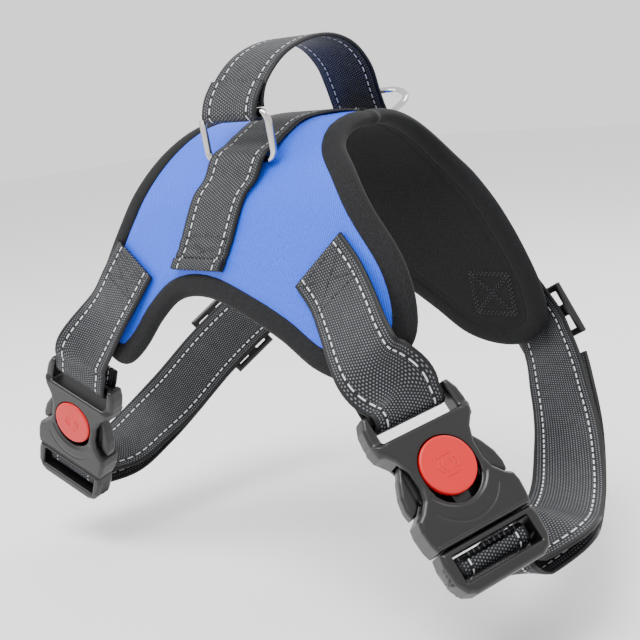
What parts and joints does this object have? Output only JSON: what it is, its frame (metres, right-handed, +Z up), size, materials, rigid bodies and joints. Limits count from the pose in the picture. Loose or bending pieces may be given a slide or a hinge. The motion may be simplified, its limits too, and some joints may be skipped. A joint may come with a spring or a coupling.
{
  "type": "dog harness",
  "caption": "Padded saddle dog harness with a grab handle, a leash D-ring and chest and girth webbing loops that close with locking side-release buckles.",
  "frame": {"origin": "middle of the saddle's underside, where it rests on the dog's back", "axes": "+X towards the girth (rear) loop, -Y the near side with the buckles, +Z up from the dog's back"},
  "size_m": [0.3634, 0.2206, 0.2679],
  "materials": {
    "panel_fabric": "woven",
    "foam": "open cell foam",
    "lining_fabric": "brushed",
    "binding_fabric": "brushed",
    "webbing": "woven, reflective stitching",
    "chrome": "polished",
    "buckle_plastic": "satin moulded",
    "button_plastic": "satin"
  },
  "bodies": {
    "root": {"inner_lining": "lining_fabric", "foam_pad": "foam", "outer_panel": "panel_fabric", "edge_binding": "binding_fabric", "center_strap": "webbing", "handle_strap": "webbing", "chest_upper_strap": "webbing", "chest_buckle_housing": "buckle_plastic", "chest_lower_strap": "webbing", "chest_return_ply": "webbing", "girth_upper_strap": "webbing", "girth_buckle_housing": "buckle_plastic", "girth_lower_strap": "webbing", "girth_return_ply": "webbing"},
    "handle_ring": {"handle_ring": "chrome"},
    "d_ring": {"d_ring": "chrome"},
    "chest_lock": {"chest_lock_button": "button_plastic"},
    "chest_tongue": {"chest_buckle_tongue": "buckle_plastic"},
    "chest_prong_left": {"chest_prong_left": "buckle_plastic"},
    "chest_prong_right": {"chest_prong_right": "buckle_plastic"},
    "chest_slider": {"chest_slider": "buckle_plastic"},
    "girth_lock": {"girth_lock_button": "button_plastic"},
    "girth_tongue": {"girth_buckle_tongue": "buckle_plastic"},
    "girth_prong_left": {"girth_prong_left": "buckle_plastic"},
    "girth_prong_right": {"girth_prong_right": "buckle_plastic"},
    "girth_slider": {"girth_slider": "buckle_plastic"}
  },
  "joints": [
    {"name": "d_ring_swing", "type": "hinge", "parent": "root", "child": "d_ring", "pos_m": [0.008, 0.04796, 0.00103], "axis": [1, 0, 0], "range_deg": [-30, 60]},
    {"name": "handle_ring_tilt", "type": "hinge", "parent": "root", "child": "handle_ring", "pos_m": [0.008, -0.05363, -0.01091], "axis": [1, 0, 0], "range_deg": [-8, 8], "deforming": ["handle_strap"]},
    {"name": "chest_lock_slide", "type": "slide", "parent": "root", "child": "chest_lock", "axis": [-0.4539, 0.0799, -0.8875], "range_m": [0, 0.003]},
    {"name": "chest_release", "type": "slide", "parent": "root", "child": "chest_tongue", "axis": [-0.4539, 0.0799, -0.8875], "range_m": [0, 0.045], "deforming": ["chest_lower_strap", "chest_return_ply", "chest_prong_left", "chest_prong_right"]},
    {"name": "chest_squeeze_right", "type": "hinge", "parent": "chest_tongue", "child": "chest_prong_right", "pos_m": [-0.13344, -0.07072, -0.19305], "axis": [0.095, -0.986, -0.1374], "range_deg": [0, 6]},
    {"name": "chest_squeeze_left", "type": "hinge", "parent": "chest_tongue", "child": "chest_prong_left", "pos_m": [-0.15807, -0.07479, -0.18082], "axis": [0.095, -0.986, -0.1374], "range_deg": [-6, 0]},
    {"name": "chest_adjust", "type": "slide", "parent": "root", "child": "chest_slider", "axis": [-0.3545, -0.7533, -0.5539], "range_m": [-0.006, 0.006]},
    {"name": "girth_lock_slide", "type": "slide", "parent": "root", "child": "girth_lock", "axis": [0.6221, -0.1038, -0.776], "range_m": [0, 0.003]},
    {"name": "girth_release", "type": "slide", "parent": "root", "child": "girth_tongue", "axis": [0.6221, -0.1038, -0.776], "range_m": [0, 0.045], "deforming": ["girth_lower_strap", "girth_return_ply", "girth_prong_left", "girth_prong_right"]},
    {"name": "girth_squeeze_right", "type": "hinge", "parent": "girth_tongue", "child": "girth_prong_right", "pos_m": [0.16461, -0.08022, -0.16539], "axis": [0.6906, -0.3943, 0.6063], "range_deg": [0, 6]},
    {"name": "girth_squeeze_left", "type": "hinge", "parent": "girth_tongue", "child": "girth_prong_left", "pos_m": [0.15435, -0.10561, -0.17022], "axis": [0.6906, -0.3943, 0.6063], "range_deg": [-6, 0]},
    {"name": "girth_adjust", "type": "slide", "parent": "root", "child": "girth_slider", "axis": [0.4828, 0.0358, -0.875], "range_m": [-0.006, 0.006]}
  ],
  "couplings": [
    {"joint": "chest_squeeze_left", "follows": "chest_squeeze_right", "ratio": -1},
    {"joint": "girth_squeeze_left", "follows": "girth_squeeze_right", "ratio": -1}
  ]
}
